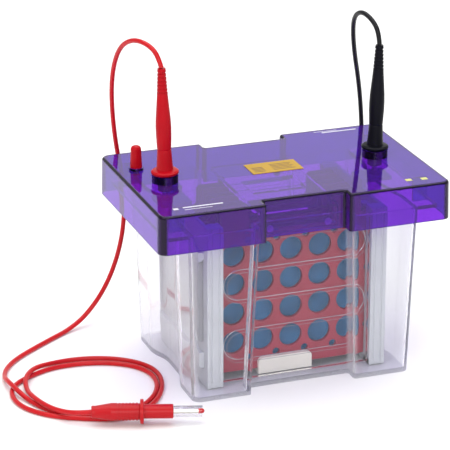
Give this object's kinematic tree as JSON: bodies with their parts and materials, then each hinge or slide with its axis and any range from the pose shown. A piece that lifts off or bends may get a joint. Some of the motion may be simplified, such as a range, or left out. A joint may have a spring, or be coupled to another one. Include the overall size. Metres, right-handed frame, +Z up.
{
  "type": "electrophoresis tank",
  "caption": "Clear tank with a tinted safety lid, a lift-out insert of perforated transfer cassettes between wire electrodes, and two plug-in leads with sheathed plugs.",
  "frame": {"origin": "centre of the tank base, on the bench surface", "axes": "+X along the long side with the red lead at -X, +Y to the back, +Z up"},
  "size_m": [0.3413, 0.245, 0.2733],
  "materials": {
    "clear_tank": "clear, polished",
    "violet_lid": "clear tinted, polished",
    "label_card": "satin",
    "red_rubber": "satin",
    "black_rubber": "satin",
    "red_plastic": "satin",
    "black_plastic": "satin",
    "red_silicone": "satin",
    "black_silicone": "satin",
    "plated_brass": "bright",
    "clear_sheath": "clear",
    "frosted_frame": "frosted",
    "clear_panel": "clear",
    "platinum": "bright",
    "steel": "brushed",
    "red_plate": "satin",
    "black_plate": "satin",
    "blue_fibre": "open fibre",
    "cream_clip": "satin"
  },
  "bodies": {
    "tank": {"tank_body": "clear_tank"},
    "insert": {"left_frame": "frosted_frame", "right_frame": "frosted_frame", "left_barrier": "clear_panel", "right_barrier": "clear_panel", "left_contact_arm": "frosted_frame", "right_contact_arm": "frosted_frame", "left_contact_pin": "plated_brass", "right_contact_pin": "plated_brass", "front_electrode_panel": "clear_panel", "rear_electrode_panel": "clear_panel", "front_electrode_wire": "platinum", "rear_electrode_wire": "platinum", "lifting_bridge": "clear_panel", "bridge_screws": "steel"},
    "lid": {"lid_shell": "violet_lid", "write_on_label": "label_card"},
    "port_cap": {"port_cap": "red_rubber"},
    "red_lead": {"red_boot": "red_rubber", "red_socket": "plated_brass", "red_cord": "red_silicone", "red_plug": "red_plastic", "red_plug_pin": "plated_brass", "red_plug_tip": "red_plastic"},
    "black_lead": {"black_boot": "black_rubber", "black_socket": "plated_brass", "black_cord": "black_silicone", "black_cord_end": "black_silicone", "black_coil": "black_silicone", "black_plug": "black_plastic", "black_plug_pin": "plated_brass", "black_plug_tip": "black_plastic"},
    "red_sheath": {"red_sheath": "clear_sheath"},
    "black_sheath": {"black_sheath": "clear_sheath"},
    "cassette_1": {"cassette_1_black_plate": "black_plate", "cassette_1_clip": "cream_clip", "cassette_1_front_pad": "blue_fibre", "cassette_1_rear_pad": "blue_fibre", "cassette_1_red_plate": "red_plate"},
    "cassette_2": {"cassette_2_black_plate": "black_plate", "cassette_2_clip": "cream_clip", "cassette_2_front_pad": "blue_fibre", "cassette_2_rear_pad": "blue_fibre", "cassette_2_red_plate": "red_plate"},
    "cassette_3": {"cassette_3_black_plate": "black_plate", "cassette_3_clip": "cream_clip", "cassette_3_front_pad": "blue_fibre", "cassette_3_rear_pad": "blue_fibre", "cassette_3_red_plate": "red_plate"}
  },
  "joints": [
    {"name": "insert_lift", "type": "slide", "parent": "tank", "child": "insert", "axis": [0, 0, 1], "range_m": [0, 0.13]},
    {"name": "lid_lift", "type": "slide", "parent": "insert", "child": "lid", "axis": [0, 0, 1], "range_m": [0, 0.12]},
    {"name": "port_cap_pull", "type": "slide", "parent": "lid", "child": "port_cap", "axis": [0, 0, 1], "range_m": [0, 0.02]},
    {"name": "red_lead_pull", "type": "slide", "parent": "lid", "child": "red_lead", "axis": [0, 0, 1], "range_m": [0, 0.03]},
    {"name": "black_lead_pull", "type": "slide", "parent": "lid", "child": "black_lead", "axis": [0, 0, 1], "range_m": [0, 0.03]},
    {"name": "red_sheath_slide", "type": "slide", "parent": "red_lead", "child": "red_sheath", "axis": [-0.9481, 0.318, 0], "range_m": [0, 0.017], "stiffness_N_per_m": 60, "springref_m": -0.005},
    {"name": "black_sheath_slide", "type": "slide", "parent": "black_lead", "child": "black_sheath", "axis": [-1, 0, 0], "range_m": [0, 0.017], "stiffness_N_per_m": 60, "springref_m": -0.005},
    {"name": "cassette_1_lift", "type": "slide", "parent": "insert", "child": "cassette_1", "axis": [0, 0, 1], "range_m": [0, 0.008]},
    {"name": "cassette_2_lift", "type": "slide", "parent": "insert", "child": "cassette_2", "axis": [0, 0, 1], "range_m": [0, 0.008]},
    {"name": "cassette_3_lift", "type": "slide", "parent": "insert", "child": "cassette_3", "axis": [0, 0, 1], "range_m": [0, 0.008]}
  ]
}
